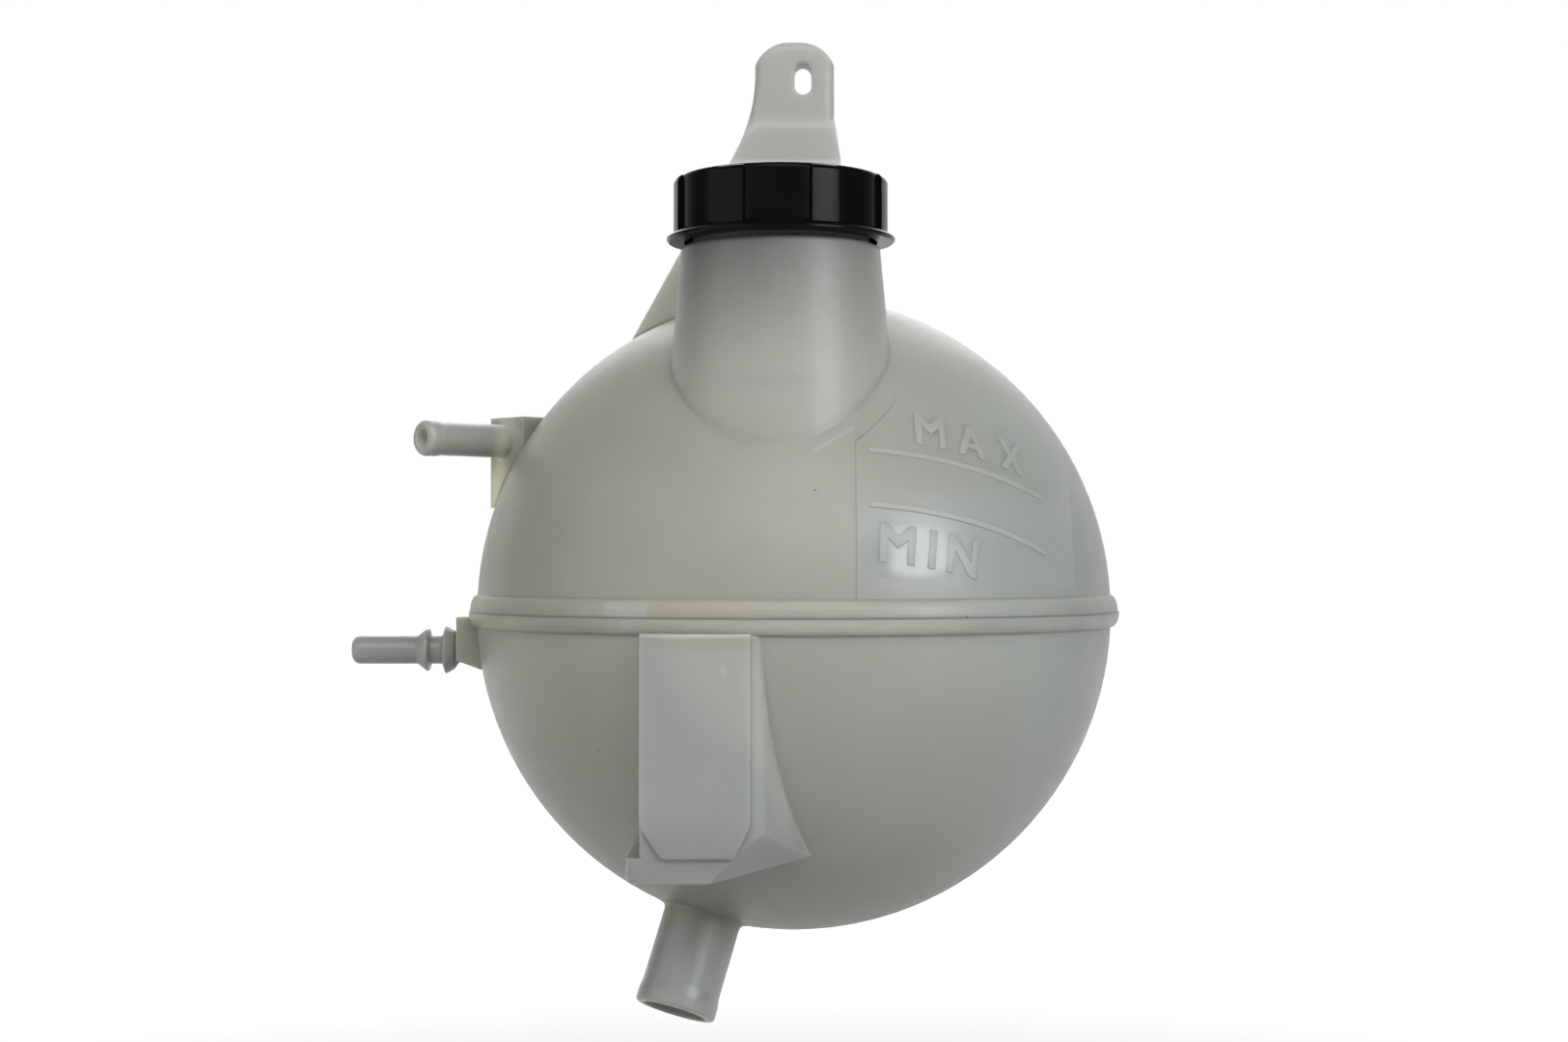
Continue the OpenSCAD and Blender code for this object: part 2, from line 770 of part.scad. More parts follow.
module tank_upper_shell() {
    color([0.66, 0.68, 0.63]) place() difference() {
        union() {
            intersection() {
                sphere(r = ball_r);
                above(0);
            }
            rotate_extrude() flange_section(flange_r - flange_step, flange_up);
            neck_outside();
            lug();
            level_window();
            on_return_axis() {
                return_boss();
                return_tube();
            }
        }
        sphere(r = inner_r);
        neck_inside();
        on_return_axis() return_bore();
    }
}

module tank_lower_shell() {
    color([0.63, 0.65, 0.6]) place() difference() {
        union() {
            intersection() {
                sphere(r = ball_r);
                below(0);
            }
            rotate_extrude() mirror([0, 1]) flange_section(flange_r, flange_down);
            translate([0, 0, -vent_down]) {
                vent_boss();
                vent_tube();
            }
            on_outlet_axis() outlet_tube();
            difference() {
                socket_outside();
                socket_inside();
            }
        }
        sphere(r = inner_r);
        translate([0, 0, -vent_down]) vent_bore();
        on_outlet_axis() outlet_bore();
        for (side = [-1, 1]) pin_hole(side);
    }
}

module sensor_pin(side) {
    color([0.78, 0.74, 0.62]) place() translate([pin_x + side * pin_gap / 2, pin_y, 0])
        rod(pin_r, pin_tip_z, pin_top_z, slender_fn);
}

// Cap: plain wall with a flange, grip ribs and a hollow snap stud that carries the valve housing
module cap_shell() {
    color([0.06, 0.06, 0.07]) place() on_neck_axis() {
        difference() {
            union() {
                rotate_extrude() cap_profile();
                for (i = [0 : rib_count - 1])
                    rotate([0, 0, -90 + rib_turn + i * 360 / rib_count]) grip_rib();
            }
            rod(cap_inner_r, cap_bottom_z - past, ceiling_z);
        }
        snap_stud();
    }
}

// Half section of the cap without its ribs: flange, slope, panel and round top edge
module cap_profile() {
    flange_z = cap_bottom_z + cap_flange_h;
    polygon(concat(
        [[0, cap_bottom_z]],
        [[cap_flange_r - cap_flange_edge, cap_bottom_z], [cap_flange_r, cap_bottom_z + cap_flange_edge]],
        [[cap_flange_r, flange_z - cap_flange_edge], [cap_flange_r - cap_flange_edge, flange_z]],
        [[cap_panel_r, flange_z + cap_flange_slope_h]],
        arc(cap_panel_r - cap_edge_r, cap_top_z - cap_edge_r, cap_edge_r, 0, 90),
        [[0, cap_top_z]]
    ));
}

// One grip rib: a sector of a slightly larger cap, with a round top edge
module grip_rib() {
    half_w = rib_cut_r * tan(rib_width / 2);
    foot_z = cap_bottom_z + rib_foot_up;
    top_z = cap_top_z - rib_low;
    intersection() {
        rotate_extrude() polygon(concat(
            [[rib_foot_r, foot_z], [cap_r, foot_z]],
            arc(cap_r - rib_edge_r, top_z - rib_edge_r, rib_edge_r, 0, rib_edge_turn),
            [[rib_foot_r, top_z]]
        ));
        linear_extrude(height = far) polygon([[0, 0], [rib_cut_r, -half_w], [rib_cut_r, half_w]]);
    }
}

// Hollow stud under the top of the cap, slit crosswise so that its head springs through the cover
module snap_stud() {
    head_top_z = rim_z - play;
    head_z = head_top_z - stud_head_h;
    cut_z = head_z - past;
    difference() {
        union() {
            rod(stud_r, head_z, ceiling_z + past);
            translate([0, 0, head_z])
                cylinder(r1 = stud_r - stud_head_lip, r2 = stud_head_r, h = stud_head_h);
        }
        rod(stud_bore_r, cut_z, ceiling_z - stud_head_h);
        for (turn = [0, 90])
            rotate([0, 0, turn]) translate([-far / 2, -stud_slot_w / 2, cut_z])
                cube([far, stud_slot_w, rim_z + cover_t - cut_z]);
    }
}

// Cover of the valve housing: it rests on the rim of the neck and turns freely on the snap stud
module housing_cover() {
    cover_top_z = rim_z + cover_t;
    color([0.12, 0.12, 0.13]) place() on_neck_axis() difference() {
        union() {
            rod(cover_r, rim_z, cover_top_z);
            ring(housing_inner_r, stud_head_r + stud_head_gap, spring_top_z, rim_z + past);
        }
        rod(stud_r + run_fit, rim_z - past, cover_top_z + past);
        for (i = [0 : vent_hole_count - 1])
            rotate([0, 0, vent_hole_turn + i * 360 / vent_hole_count]) translate([vent_hole_ring, 0, 0])
                rod(vent_hole_r, spring_top_z - past, cover_top_z + past, small_fn);
    }
}

// Cup of the valve housing, with the O-ring groove outside and the valve seat on its floor
module valve_housing() {
    floor_top_z = housing_floor_z + housing_floor_t;
    color([0.12, 0.12, 0.13]) place() on_neck_axis() difference() {
        rod(housing_r, housing_floor_z, rim_z);
        difference() {
            rod(housing_inner_r, floor_top_z, rim_z + past);
            rod(port_r + seat_wall, floor_top_z - past, floor_top_z + seat_h);
        }
        rod(port_r, housing_floor_z - past, floor_top_z + seat_h + past);
        ring(housing_r + past, groove_r, o_ring_z - groove_h / 2, o_ring_z + groove_h / 2);
    }
}

module neck_o_ring() {
    color([0.09, 0.09, 0.09]) place() on_neck_axis() translate([0, 0, o_ring_z])
        rotate_extrude() translate([o_ring_r, 0]) circle(r = o_ring_section_r, $fn = small_fn);
}

module pressure_plate() {
    color([0.75, 0.75, 0.73]) place() on_neck_axis() difference() {
        union() {
            rod(plate_r, plate_z, plate_top_z);
            ring(collar_r, collar_r - collar_wall, plate_top_z - past, plate_top_z + collar_h);
            ring(plate_r, seal_r + plate_rim_gap, plate_z - seal_t * plate_rim_share, plate_z + past);
        }
        rod(stem_r + run_fit, plate_z - past, plate_top_z + past, small_fn);
        for (i = [0 : air_hole_count - 1])
            rotate([0, 0, i * 360 / air_hole_count]) translate([air_hole_ring, 0, 0])
                rod(air_hole_r, plate_z - past, plate_top_z + past, small_fn);
    }
}

module pressure_seal() {
    color([0.08, 0.08, 0.08]) place() on_neck_axis() ring(seal_r, seal_inner_r, plate_z - seal_t, plate_z);
}

// Rise of a coil after t turns: its end turns lie against each other, and the turns between them climb
function coil_rise(t, turns, height, closed) =
    t < 1 ? closed * t : (
        t > turns - 1 ? height - closed * (turns - t) :
        closed + (height - 2 * closed) * (t - 1) / (turns - 2)
    );

// Coil of round wire, as one sweep: a ring of points for every step along the coil
module coil(coil_r, wire_r, turns, height, steps, sides) {
    count = turns * steps;
    rings = [for (i = [0 : count], j = [0 : sides - 1])
        let (
            a = 360 * i / steps,
            b = 360 * j / sides,
            rise = coil_rise(i / steps, turns, height - 2 * wire_r, coil_end_rise * wire_r),
            r = coil_r + wire_r * cos(b)
        )
        [r * cos(a), r * sin(a), wire_r + rise + wire_r * sin(b)]];
    sides_faces = [for (i = [0 : count - 1], j = [0 : sides - 1])
        let (k = (j + 1) % sides)
        [i * sides + j, (i + 1) * sides + j, (i + 1) * sides + k, i * sides + k]];
    first = [for (j = [0 : sides - 1]) j];
    last = [for (j = [sides - 1 : -1 : 0]) count * sides + j];
    polyhedron(points = rings, faces = concat(sides_faces, [first], [last]));
}

module pressure_spring() {
    color([0.6, 0.6, 0.62]) place() on_neck_axis() translate([0, 0, plate_top_z])
        coil(spring_coil_r, spring_wire_r, spring_turns, spring_top_z - plate_top_z,
            pressure_coil_steps, pressure_wire_sides);
}

module vacuum_valve() {
    low_z = plate_z - vacuum_seal_t - vacuum_t;
    color([0.7, 0.7, 0.68]) place() on_neck_axis() difference() {
        union() {
            rod(vacuum_r, low_z, low_z + vacuum_t);
            rod(stem_r, low_z, stem_top_z, small_fn);
        }
        ring(2 * stem_r, keeper_groove_r, keeper_z, keeper_z + keeper_t);
    }
}

module vacuum_seal() {
    color([0.08, 0.08, 0.08]) place() on_neck_axis()
        ring(vacuum_seal_r, vacuum_seal_inner_r, plate_z - vacuum_seal_t, plate_z);
}

module vacuum_spring() {
    color([0.6, 0.6, 0.62]) place() on_neck_axis() translate([0, 0, plate_top_z])
        coil(vacuum_coil_r, vacuum_wire_r, vacuum_turns, keeper_z - plate_top_z,
            vacuum_coil_steps, vacuum_wire_sides);
}

// Open clip in the groove of the vacuum valve stem
module vacuum_keeper() {
    color([0.5, 0.5, 0.52]) place() on_neck_axis() difference() {
        ring(keeper_r, keeper_groove_r, keeper_z, keeper_z + keeper_t);
        translate([0, -keeper_groove_r, keeper_z - past])
            cube([2 * keeper_r, 2 * keeper_groove_r, keeper_t + 2 * past]);
    }
}

tank_upper_shell();
tank_lower_shell();
sensor_pin(-1);  // level_sensor_pin_left
sensor_pin(1);  // level_sensor_pin_right
cap_shell();
housing_cover();
valve_housing();
neck_o_ring();
pressure_plate();
pressure_seal();
pressure_spring();
vacuum_valve();
vacuum_seal();
vacuum_spring();
vacuum_keeper();
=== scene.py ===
"""Looks of the ball-shaped coolant expansion tank: materials, raised words, threads, seam, light and camera.

Places are given from the centre of the ball in millimetres, as in the part's source, and turned into metres
in the row frame by at().
"""

import math

import bmesh
import bpy
from mathutils import Euler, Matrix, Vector, noise

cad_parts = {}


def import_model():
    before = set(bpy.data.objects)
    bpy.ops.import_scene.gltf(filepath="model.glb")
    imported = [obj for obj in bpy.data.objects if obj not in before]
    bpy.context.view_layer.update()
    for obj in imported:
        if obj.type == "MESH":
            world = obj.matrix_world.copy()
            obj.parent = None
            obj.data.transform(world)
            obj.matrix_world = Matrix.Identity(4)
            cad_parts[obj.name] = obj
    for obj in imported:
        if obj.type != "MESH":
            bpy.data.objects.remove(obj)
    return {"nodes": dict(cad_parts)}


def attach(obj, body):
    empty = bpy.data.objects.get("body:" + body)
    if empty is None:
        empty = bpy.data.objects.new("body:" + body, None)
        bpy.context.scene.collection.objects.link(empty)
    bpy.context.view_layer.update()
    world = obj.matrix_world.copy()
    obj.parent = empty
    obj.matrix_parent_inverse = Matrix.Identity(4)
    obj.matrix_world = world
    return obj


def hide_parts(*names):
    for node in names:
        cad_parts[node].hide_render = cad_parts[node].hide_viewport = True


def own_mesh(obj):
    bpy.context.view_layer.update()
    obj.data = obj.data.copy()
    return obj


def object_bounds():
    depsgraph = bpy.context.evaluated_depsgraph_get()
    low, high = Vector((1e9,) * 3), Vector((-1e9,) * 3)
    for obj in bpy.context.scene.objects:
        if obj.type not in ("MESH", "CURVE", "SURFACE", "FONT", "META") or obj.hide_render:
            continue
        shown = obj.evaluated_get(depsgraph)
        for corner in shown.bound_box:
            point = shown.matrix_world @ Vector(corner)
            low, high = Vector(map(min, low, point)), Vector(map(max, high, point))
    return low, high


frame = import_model()
cad_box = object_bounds()

MM = 0.001

# The part, from the centre of the ball, in millimetres
BALL = Vector((-2.5, -4, -142))
BALL_R = 84
WINDOW_R = 84.2
FLANGE_R = 86.2
FLANGE_STEP = 0.35
NECK_X = -3.4
NECK_Y = -44
NECK_BACK = -14
FINISH_R = 21.9
CAP_BORE_R = 24.1
WINDOW_LEFT = 14.3
WINDOW_RIGHT = 69
LEVEL_TILT = math.radians(33.3)
LEVEL_ROLL = math.radians(3.9)
LEVEL_TOP = 9
LEVEL_LINES = (-7.5, -21.5)
LINE_HALF = 0.65
LINE_LEFT = 17.5
LINE_RIGHT = 61
EDGE_R = 0.7
WINDOW_EDGE_R = 0.35
FOOT_EDGE_R = 3.5
LUG_EDGE_R = 2
LUG_HEAD = 130.4
RETURN_BORE = ((-94.3, -19.75, 45.2), (-0.719, -0.695, 0.0), 2.6)

# Words on the level window
WORD_HEIGHT = 9.4
WORD_STROKE = 1.9
WORD_RISE = 0.14
WORD_SINK = 0.5
WORD_SOFT = 0.14
# Each word's piece, the height of its foot above the level plane, and its letters with the angles of their sides
WORDS = (
    ("word_max", -4.0, (("M", 22.2, 27.8), ("A", 29.9, 35.7), ("X", 38.5, 44.2))),
    ("word_min", -34.4, (("M", 15.4, 21.9), ("I", 24.4, 25.7), ("N", 28.0, 34.2))),
)

# Where the window is polished most, under the lower word, as a pixel of the photograph and a radius
POLISHED = (948, 572, 84.2)

# Threads of the neck and of the cap
THREAD_PITCH = 3.5
THREAD_LOW = 95.4
NECK_THREAD_TURNS = 1.7
CAP_THREAD_TURNS = 1.5
NECK_CREST_R = 23.3
CAP_CREST_R = 22.5
# How deep a thread's foot lies in its wall, half its width there and at its crest, and its points in a turn
THREAD_SINK = 0.25
THREAD_HALF_FOOT = 0.95
THREAD_HALF_CREST = 0.4
THREAD_STEPS = 72

# The photograph's frame and the camera's place in it
PHOTO_WIDTH = 1625
PHOTO_HEIGHT = 1080
FOCAL_PIXELS = 2381
SENSOR = 36
CAMERA = (-2.6, -615, 14.7)
CAMERA_PITCH = math.radians(0.87)

# Tones of the tank's plastic, of the marks on it, and of painted light and shade
TANK_TONE = (0.350, 0.354, 0.314)
# Painted shade: darker, yellower tone toward the left
LEFT_SHADE_TONE = (0.305, 0.312, 0.248)
# Painted cool light on the right side
COOL_LIGHT_TONE = (0.340, 0.360, 0.340)
# Painted shade on the far right side, most below the seam
SIDE_SHADE_TONE = (0.235, 0.247, 0.235)
# Painted light on the neck
NECK_LIGHT_TONE = (0.410, 0.412, 0.370)
# Black valve housing showing through the neck, with painted shade from the cap
HOUSING_AND_SHADE_TONE = (0.115, 0.124, 0.118)
# Painted sheen on the lower part of the level window
WINDOW_SHEEN_TONE = (0.362, 0.374, 0.352)
# Painted highlight along the raised level lines
LINE_HIGHLIGHT_TONE = (0.450, 0.460, 0.435)
WELD_TONE = (0.400, 0.385, 0.290)
# Painted light on the underside of the weld flange
UNDER_LIGHT_TONE = (0.455, 0.455, 0.395)
# Painted light on the sensor socket
SOCKET_LIGHT_TONE = (0.395, 0.402, 0.368)
# Painted shade on the socket's lower rim
RIM_SHADE_TONE = (0.255, 0.260, 0.258)
# Painted shade toward the bottom of the ball
FOOT_SHADE_TONE = (0.280, 0.280, 0.240)
# Painted shade, cool grey, on the thin spigots
THIN_SHADE_TONE = (0.305, 0.318, 0.322)
# Painted light on the return boss
BOSS_LIGHT_TONE = (0.850, 0.840, 0.610)
TUBE_TONE = (0.350, 0.355, 0.325)
# Painted light inside the return spigot's bore
BORE_LIGHT_TONE = (0.750, 0.760, 0.720)
# Painted light on the fin behind the neck
FIN_LIGHT_TONE = (0.540, 0.550, 0.490)
# Painted light on the lug's thin web
WEB_LIGHT_TONE = (0.550, 0.562, 0.535)
# Painted light on the lug's head
LUG_LIGHT_TONE = (0.405, 0.415, 0.390)
# Painted highlights on the weld flange and the socket
MARK_HIGHLIGHT_TONE = (0.480, 0.490, 0.470)
SPECK_TONE = (0.060, 0.055, 0.045)
GLINT_TONE = (0.560, 0.570, 0.550)

# Painted highlights on the weld flange, as left, right, low and high, in millimetres
SEAM_HIGHLIGHTS = ((-45.0, -34.6, 0.3, 4.2), (-41.2, -38.0, -3.2, -0.5))
# Painted highlights on the front of the socket, as a centre and half lengths in millimetres
SOCKET_HIGHLIGHTS = (((-16.6, -85.4, -11.6), (0.9, 1.0, 1.9)),)
# Dark specks, as pixels of the photograph, the radius of the sphere that they lie on, and their own radius
SPECKS = (
    (1080, 450, 84.3, 0.30),
    (845, 508, 84.0, 0.35),
    (620, 778, 84.0, 0.30),
    (1002, 639, 86.0, 0.45),
    (1070, 635, 86.0, 0.35),
)
# Painted highlight along the crease at the foot of the neck, as its two ends in pixels of the photograph
CREASE = ((844, 467), (883, 444))
CREASE_SPOTS = 13
# Heights between which the spigots' painted shade and smoother look end, below the neck and the lug
SPIGOTS_TOP = (55, 60)

# Springs copied in place of their CAD nodes: node, body, joint, the joint's travel and the height of the fixed end,
# in metres
SPRINGS = (
    ("pressure_spring", "valve_insert", "pressure_valve_lift", 0.002, -0.040),
    ("vacuum_spring", "pressure_valve", "vacuum_valve_drop", 0.001, -0.0555),
)

# Lamps: name, azimuth and elevation in degrees, distance and size in metres, power in watts, colour
LAMPS = (
    ("window_light", 46, 20, 1.5, (0.7, 0.6), 11, (0.93, 0.96, 1.0)),
    ("front_light", 0, 38, 1.7, (1.3, 1.0), 13.5, (1.0, 1.0, 0.98)),
    ("left_light", -60, 15, 1.8, (1.7, 1.7), 10.5, (1.0, 1.0, 0.98)),
    ("back_light", 180, 35, 1.6, (1.2, 1.2), 8, (1.0, 1.0, 1.0)),
)

# Floor: how far below the part it lies, and how far from the part it turns white, in metres
FLOOR_DROP = 0.11
FLOOR_NEAR = 0.3
FLOOR_FAR = 0.95
FLOOR_REACH = 40


def at(x, y, z):
    """A place given from the centre of the ball in millimetres, in metres in the row frame."""
    return (BALL + Vector((x, y, z))) * MM


def level_frame():
    """Directions of the level planes: up out of them, toward the viewer along them, and to the right."""
    turn = Euler((-LEVEL_TILT, -LEVEL_ROLL, 0)).to_matrix()
    up = turn @ Vector((0, 0, 1))
    front = Vector((0, -1, 0))
    front = (front - up * front.dot(up)).normalized()
    return up, front, up.cross(front)


# Shader nodes


def node(tree, kind, inputs=None, **settings):
    """A shader node with its settings, and each input set to a value or joined to a socket."""
    made = tree.nodes.new("ShaderNode" + kind)
    for name, value in settings.items():
        setattr(made, name, value)
    for name, value in (inputs or {}).items():
        if isinstance(value, bpy.types.NodeSocket):
            tree.links.new(value, made.inputs[name])
        else:
            made.inputs[name].default_value = value
    return made


def math_of(tree, operation, a, b=0.0):
    """Socket with the result of a Math node."""
    return node(tree, "Math", {0: a, 1: b}, operation=operation).outputs[0]


def ramp(tree, value, low, high, to_low=0.0, to_high=1.0):
    """Socket that goes smoothly from to_low to to_high as value goes from low to high."""
    inputs = {"Value": value, "From Min": low, "From Max": high, "To Min": to_low, "To Max": to_high}
    return node(tree, "MapRange", inputs, interpolation_type="SMOOTHSTEP").outputs["Result"]


def blend(tree, factor, a, b):
    """Socket with colour a where factor is 0 and colour b where it is 1."""
    made = node(tree, "Mix", {"Factor": factor}, data_type="RGBA")
    colours = [socket for socket in made.inputs if socket.type == "RGBA"]
    for socket, colour in zip(colours, (a, b)):
        if isinstance(colour, bpy.types.NodeSocket):
            tree.links.new(colour, socket)
        else:
            socket.default_value = (*colour, 1)
    return [socket for socket in made.outputs if socket.type == "RGBA"][0]


def share(tree, factor, a, b):
    """Socket with value a where factor is 0 and value b where it is 1."""
    made = node(tree, "Mix", {"Factor": factor}, data_type="FLOAT")
    values = [socket for socket in made.inputs if socket.type == "VALUE" and socket.name in "AB"]
    for socket, value in zip(values, (a, b)):
        if isinstance(value, bpy.types.NodeSocket):
            tree.links.new(value, socket)
        else:
            socket.default_value = value
    return made.outputs[0]


def product(tree, *values):
    """Socket with the product of several values."""
    result = values[0]
    for value in values[1:]:
        result = math_of(tree, "MULTIPLY", result, value)
    return result


def band(tree, value, low, high, soft):
    """Socket that is 1 between two limits and 0 outside them, with soft edges."""
    rise = ramp(tree, value, low - soft / 2, low + soft / 2)
    return product(tree, rise, ramp(tree, value, high - soft / 2, high + soft / 2, 1, 0))


def spot(tree, place, centre, size, soft=0.4):
    """Socket that is 1 inside a small ellipsoid and 0 outside it, from its centre and half lengths."""
    away = node(tree, "VectorMath", {0: place, 1: centre}, operation="SUBTRACT").outputs[0]
    shrunk = node(tree, "VectorMath", {0: away, 1: size}, operation="DIVIDE").outputs[0]
    length = node(tree, "VectorMath", {0: shrunk}, operation="LENGTH").outputs["Value"]
    return ramp(tree, length, 1 - soft, 1, 1, 0)


def any_of(tree, *values):
    """Socket with the largest of several values."""
    result = values[0]
    for value in values[1:]:
        result = math_of(tree, "MAXIMUM", result, value)
    return result


def noise_of(tree, place, scale, detail=3.0, roughness=0.5):
    """Socket with a noise value about 0.5."""
    inputs = {"Vector": place, "Scale": scale, "Detail": detail, "Roughness": roughness}
    return node(tree, "TexNoise", inputs).outputs[0]


def new_material(name):
    """A material with nothing in it but its output. Returns it, its tree and its output node."""
    made = bpy.data.materials.new(name)
    made.use_nodes = True
    made.node_tree.nodes.clear()
    return made, made.node_tree, made.node_tree.nodes.new("ShaderNodeOutputMaterial")


def rest_place(tree):
    """Sockets with a point's place at rest from the centre of the ball, in metres and in millimetres."""
    place = node(tree, "TexCoord").outputs["Object"]
    metres = node(tree, "VectorMath", {0: place, 1: BALL * MM}, operation="SUBTRACT").outputs[0]
    return metres, node(tree, "VectorMath", {0: metres, "Scale": 1 / MM}, operation="SCALE").outputs[0]


def seen_at(px, py, radius):
    """The place on a sphere about the ball's centre that shows at a pixel of the photograph, in millimetres."""
    slope = Vector((px - PHOTO_WIDTH / 2, FOCAL_PIXELS, PHOTO_HEIGHT / 2 - py)) / FOCAL_PIXELS
    ray = Euler((CAMERA_PITCH, 0, 0)).to_matrix() @ slope
    eye = Vector(CAMERA)
    along = eye.dot(ray) / ray.dot(ray)
    reach = math.sqrt(along * along - (eye.dot(eye) - radius * radius) / ray.dot(ray))
    return eye - ray * (along + reach)


def window_masks(tree, x, y, z, level):
    """Sockets that are 1 on the smooth level window, and on its two raised lines, and 0 elsewhere."""
    inside = product(
        tree,
        band(tree, x, WINDOW_LEFT, WINDOW_RIGHT, 0.6),
        ramp(tree, level, LEVEL_TOP, LEVEL_TOP - 6),
        ramp(tree, z, 4, 9),
        ramp(tree, y, -20, -30),
    )
    along = band(tree, x, LINE_LEFT, LINE_RIGHT, 0.4)
    across = [band(tree, level, line - LINE_HALF, line + LINE_HALF, 0.4) for line in LEVEL_LINES]
    lines = product(tree, along, any_of(tree, *across))
    return product(tree, inside, ramp(tree, lines, 0, 1, 1, 0)), product(tree, inside, lines)


def in_bore(tree, place, mouth, axis, radius):
    """Socket that is 1 inside a spigot's bore, from a point on its axis, its direction and its radius."""
    away = node(tree, "VectorMath", {0: place, 1: mouth}, operation="SUBTRACT").outputs[0]
    across = node(tree, "VectorMath", {0: away, 1: Vector(axis).normalized()}, operation="CROSS_PRODUCT").outputs[0]
    reach = node(tree, "VectorMath", {0: across}, operation="LENGTH").outputs["Value"]
    return ramp(tree, reach, radius + 0.1, radius - 0.1)


def tank_tint(tree, metres, place, distance, window, lines):
    """Socket with the colour of the tank, with painted shade that is darker and yellower at the left, painted cool
    light at the right, and the marks on it.

    Painted light makes the tone lighter where light comes through thin walls and on parts that lie in shade, and
    painted shade makes it darker where little light comes from below; it is darker too where the black valve
    housing shows through the neck, with painted shade from the cap there. Painted highlights lie on the seam, the
    socket and the crease at the foot of the neck. Each layer lies over the ones before it.
    """
    x, y, z = node(tree, "SeparateXYZ", {0: place}).outputs
    clouds = noise_of(tree, metres, 38.0, 4.0, 0.55)
    shift = math_of(tree, "ADD", x, math_of(tree, "MULTIPLY", clouds, 30))
    outside = ramp(tree, distance, 84.5, 85.5)
    front = ramp(tree, y, NECK_BACK, NECK_BACK - 6)
    above = ramp(tree, z, 6, 16)
    below = ramp(tree, z, -5, -8)
    neck = product(tree, ramp(tree, z, 25, 35), outside, front)
    housing = product(tree, neck, ramp(tree, z, 52, 98), ramp(tree, z, 100, 106, 1, 0))
    seam = band(tree, z, -4.2, 4.8, 0.8)
    patches = ramp(tree, noise_of(tree, metres, 90.0, 2.0, 0.5), 0.45, 0.62)
    stretch = band(tree, x, -36, -8, 6)
    weld = product(tree, seam, any_of(tree, product(tree, patches, 0.3), product(tree, stretch, 0.6)))
    under = product(tree, band(tree, z, -4.2, -0.2, 0.6), ramp(tree, distance, 84.2, 85))
    socket = product(tree, outside, below, ramp(tree, y, -45, -55))
    spigots = product(tree, ramp(tree, distance, 88.5, 93), ramp(tree, z, *SPIGOTS_TOP, 1, 0))
    left_side = ramp(tree, x, -73, -80)
    back = ramp(tree, y, -6.5, -4.5)
    layers = [
        # Painted shade, darker and yellower toward the left
        (product(tree, ramp(tree, shift, 30, -85), 0.6), LEFT_SHADE_TONE),
        # Painted cool light toward the right
        (product(tree, ramp(tree, shift, 30, 85), 0.6), COOL_LIGHT_TONE),
        # Painted shade on the far right side
        (product(tree, ramp(tree, x, 55, 85), ramp(tree, z, -4, 4, 1, 0.7)), SIDE_SHADE_TONE),
        # Painted shade toward the bottom
        (product(tree, ramp(tree, z, -45, -85), 0.9), FOOT_SHADE_TONE),
        # Painted sheen on the lower part of the level window
        (product(tree, window, ramp(tree, z, 34, 24)), WINDOW_SHEEN_TONE),
        # Painted highlight on the level lines
        (product(tree, lines, 0.4), LINE_HIGHLIGHT_TONE),
        # Painted light on the neck, weaker toward its foot
        (product(tree, neck, ramp(tree, z, 36, 62, 0.3, 0.8)), NECK_LIGHT_TONE),
        # Housing seen through the neck, with painted shade from the cap, less on the right
        (product(tree, housing, ramp(tree, x, -10, 18, 1, 0.6)), HOUSING_AND_SHADE_TONE),
        (weld, WELD_TONE),
        # Painted light on the flange's lower half
        (product(tree, under, band(tree, x, -40, 36, 30)), UNDER_LIGHT_TONE),
        # Painted light on the socket
        (product(tree, socket, 0.9), SOCKET_LIGHT_TONE),
        # Painted shade on the thin spigots
        (product(tree, spigots, 0.7), THIN_SHADE_TONE),
        # Painted shade on the socket's lower rim
        (product(tree, socket, ramp(tree, z, -40, -60)), RIM_SHADE_TONE),
        # Painted light on the return boss
        (product(tree, left_side, outside, above), BOSS_LIGHT_TONE),
        (product(tree, ramp(tree, distance, 87.5, 91.5), left_side, above), TUBE_TONE),
        # Painted light inside the bore
        (product(tree, left_side, in_bore(tree, place, *RETURN_BORE)), BORE_LIGHT_TONE),
        # Painted light on the fin behind the neck
        (product(tree, outside, back, ramp(tree, z, 50, 54)), FIN_LIGHT_TONE),
        # Painted light on the lug's web
        (product(tree, back, ramp(tree, z, 95, 105)), WEB_LIGHT_TONE),
        # Painted light on the lug's head
        (product(tree, back, ramp(tree, z, LUG_HEAD - 3, LUG_HEAD + 3)), LUG_LIGHT_TONE),
    ]
    # Painted highlights on the weld flange
    for left, right, low, high in SEAM_HIGHLIGHTS:
        patch = product(tree, band(tree, x, left, right, 0.6), band(tree, z, low, high, 0.6), outside, 0.4)
        layers.append((patch, MARK_HIGHLIGHT_TONE))
    # Painted highlights on the socket
    for centre, size in SOCKET_HIGHLIGHTS:
        layers.append((product(tree, spot(tree, place, centre, size, 0.8), 0.7), MARK_HIGHLIGHT_TONE))
    for px, py, radius, size in SPECKS:
        mark = spot(tree, place, seen_at(px, py, radius), (size, size, size))
        layers.append((product(tree, mark, 0.7), SPECK_TONE))
    # Painted highlight along the crease at the foot of the neck
    for i in range(CREASE_SPOTS):
        px, py = (first + (last - first) * i / (CREASE_SPOTS - 1) for first, last in zip(*CREASE))
        mark = spot(tree, place, seen_at(px, py, BALL_R), (1.1, 1.1, 0.9), 0.9)
        layers.append((product(tree, mark, 0.22), GLINT_TONE))

    lighter = tuple(1.05 * part for part in TANK_TONE)
    colour = blend(tree, ramp(tree, clouds, 0.35, 0.7), TANK_TONE, lighter)
    for factor, tint in layers:
        colour = blend(tree, factor, colour, tint)
    return colour


